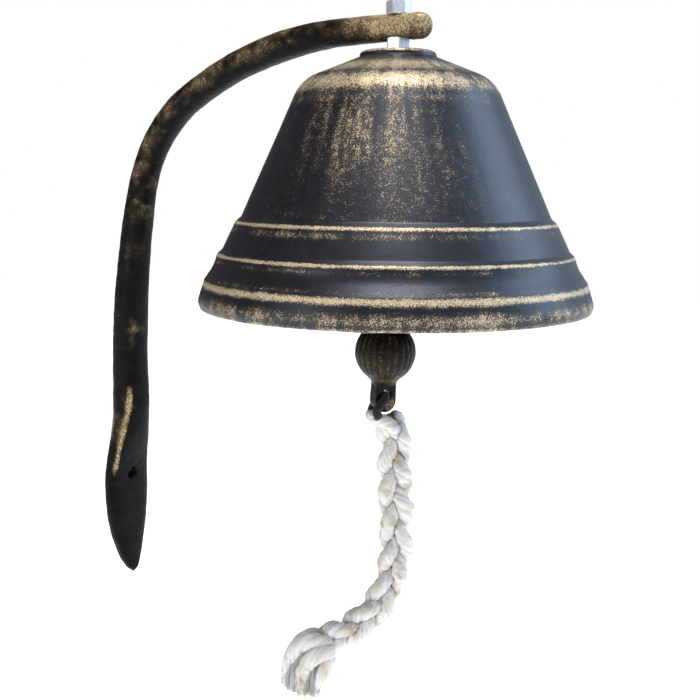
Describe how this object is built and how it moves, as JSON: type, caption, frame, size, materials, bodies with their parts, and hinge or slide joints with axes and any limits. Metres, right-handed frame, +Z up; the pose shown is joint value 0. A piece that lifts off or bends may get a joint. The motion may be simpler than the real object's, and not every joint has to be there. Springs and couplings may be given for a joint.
{
  "type": "wall mounted bell",
  "caption": "Open-mouthed metal bell bolted under the tip of a curved wall bracket, rung by swinging a ball clapper with a plaited pull rope.",
  "frame": {"origin": "centre of the wall screw's hole, at the wall face", "axes": "+Z up, +Y into the wall, the bell stands out along -Y"},
  "size_m": [0.1446, 0.2223, 0.2648],
  "materials": {
    "bracket_iron": "rough casting, black paint rubbed with antique gold",
    "bell_iron": "satin black paint rubbed with antique gold on the ridges",
    "clapper_iron": "rough casting, black paint with bronze rubbing",
    "zinc_steel": "bright zinc plating",
    "cotton_rope": "off-white twisted cotton"
  },
  "bodies": {
    "fixture": {"wall_bracket": "bracket_iron", "bell": "bell_iron", "hanger_bolt": "zinc_steel", "top_nut": "zinc_steel", "arm_nut": "zinc_steel", "inner_washer": "zinc_steel", "inner_nut": "zinc_steel"},
    "link": {"clapper_link": "zinc_steel"},
    "clapper": {"clapper": "clapper_iron"},
    "rope": {"rope_loop": "cotton_rope", "pull_rope": "cotton_rope", "rope_knot": "cotton_rope", "rope_tassel": "cotton_rope"}
  },
  "joints": [
    {"name": "link_swing", "type": "hinge", "parent": "fixture", "child": "link", "pos_m": [0, -0.15, 0.15522], "axis": [0.8746, -0.4848, 0], "range_deg": [-8, 8]},
    {"name": "clapper_swing", "type": "hinge", "parent": "link", "child": "clapper", "pos_m": [0, -0.15, 0.14697], "axis": [-0.4848, -0.8746, 0], "range_deg": [-40.4, 45.6]},
    {"name": "rope_swing", "type": "hinge", "parent": "clapper", "child": "rope", "pos_m": [-0.00367, -0.14796, 0.05446], "axis": [-0.4848, -0.8746, 0], "range_deg": [-36, 36]}
  ]
}
